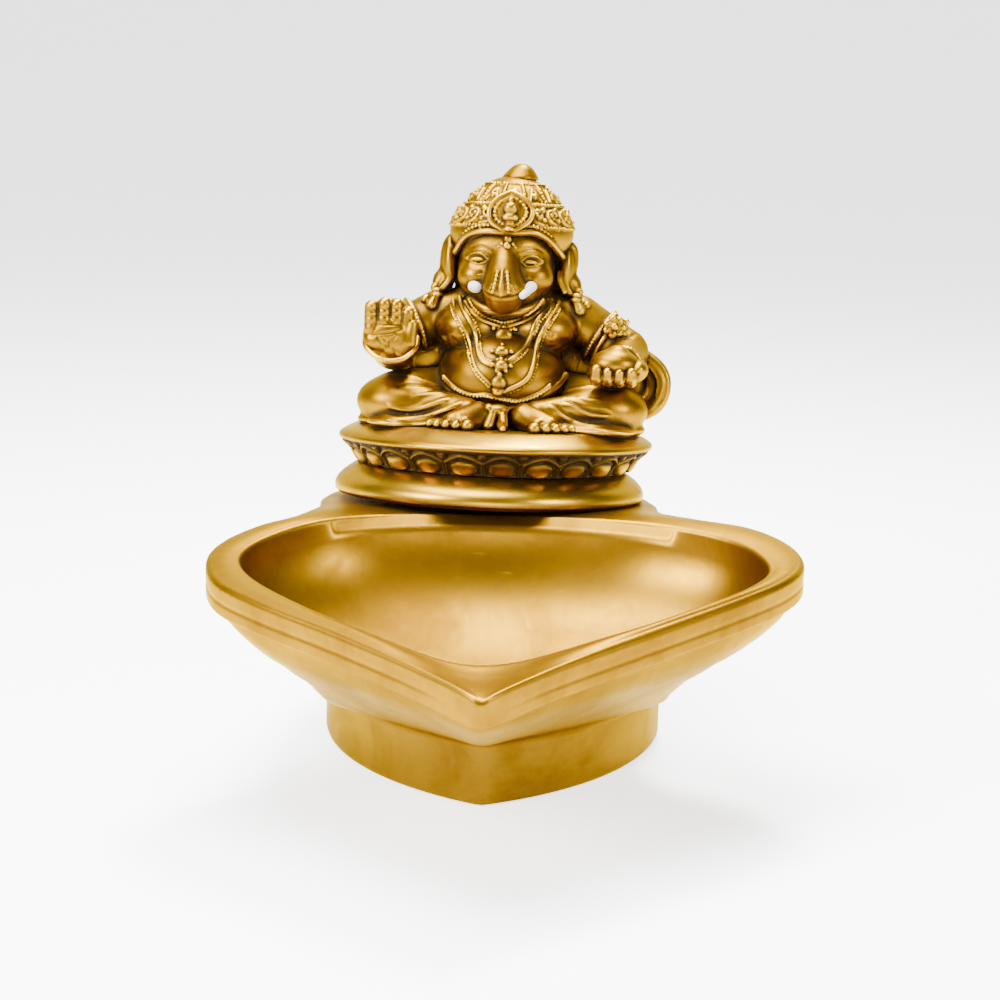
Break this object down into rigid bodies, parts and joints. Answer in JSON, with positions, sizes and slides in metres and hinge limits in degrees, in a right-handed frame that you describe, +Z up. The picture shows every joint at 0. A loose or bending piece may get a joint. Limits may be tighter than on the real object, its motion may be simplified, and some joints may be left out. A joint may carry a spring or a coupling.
{
  "type": "oil lamp with seated deity figure",
  "caption": "Leaf-shaped brass oil lamp on a leaf-shaped foot, with a seated elephant-headed deity on a round lotus seat at the back of the bowl.",
  "frame": {"origin": "on the table, under the middle of the bounding box", "axes": "+Z up, -Y towards the spout, +X towards the figure's left"},
  "size_m": [0.089, 0.118, 0.0924],
  "materials": {
    "bowl_brass": "satin, lightly brushed",
    "foot_brass": "satin, turned lines",
    "plinth_brass": "satin, polished edge",
    "lotus_brass": "polished with dark patina in the recesses",
    "figure_brass": "polished with dark patina in the recesses",
    "jewel_brass": "dark patina with worn bright points",
    "ivory_enamel": "ivory white, slightly glossy",
    "screw_steel": "zinc plated",
    "washer_brass": "stamped"
  },
  "bodies": {
    "root": {"armlet_rosette": "jewel_brass", "belly": "figure_brass", "belly_chain": "jewel_brass", "bowl": "bowl_brass", "clamp_screw": "screw_steel", "collar_necklace": "jewel_brass", "crown_band": "jewel_brass", "crown_crest": "jewel_brass", "crown_dome": "jewel_brass", "finial": "jewel_brass", "foot": "foot_brass", "forehead_drop": "jewel_brass", "head": "figure_brass", "left_armlet": "jewel_brass", "left_bracelet": "jewel_brass", "left_ear": "figure_brass", "left_earring": "jewel_brass", "left_eye": "figure_brass", "left_foot": "figure_brass", "left_forearm": "figure_brass", "left_leg": "figure_brass", "left_neck_cord": "jewel_brass", "left_tusk": "ivory_enamel", "left_upper_arm": "figure_brass", "lotus_petals": "lotus_brass", "lotus_seat": "lotus_brass", "pendant_chain": "jewel_brass", "plinth_ring": "plinth_brass", "raised_hand": "figure_brass", "resting_hand": "figure_brass", "right_armlet": "jewel_brass", "right_bracelet": "jewel_brass", "right_ear": "figure_brass", "right_earring": "jewel_brass", "right_eye": "figure_brass", "right_foot": "figure_brass", "right_forearm": "figure_brass", "right_leg": "figure_brass", "right_neck_cord": "jewel_brass", "right_tusk": "ivory_enamel", "right_upper_arm": "figure_brass", "scarf": "figure_brass", "screw_washer": "washer_brass", "sweet_ball": "figure_brass", "torso": "figure_brass", "trunk": "figure_brass", "waist_sash": "figure_brass"}
  },
  "joints": []
}
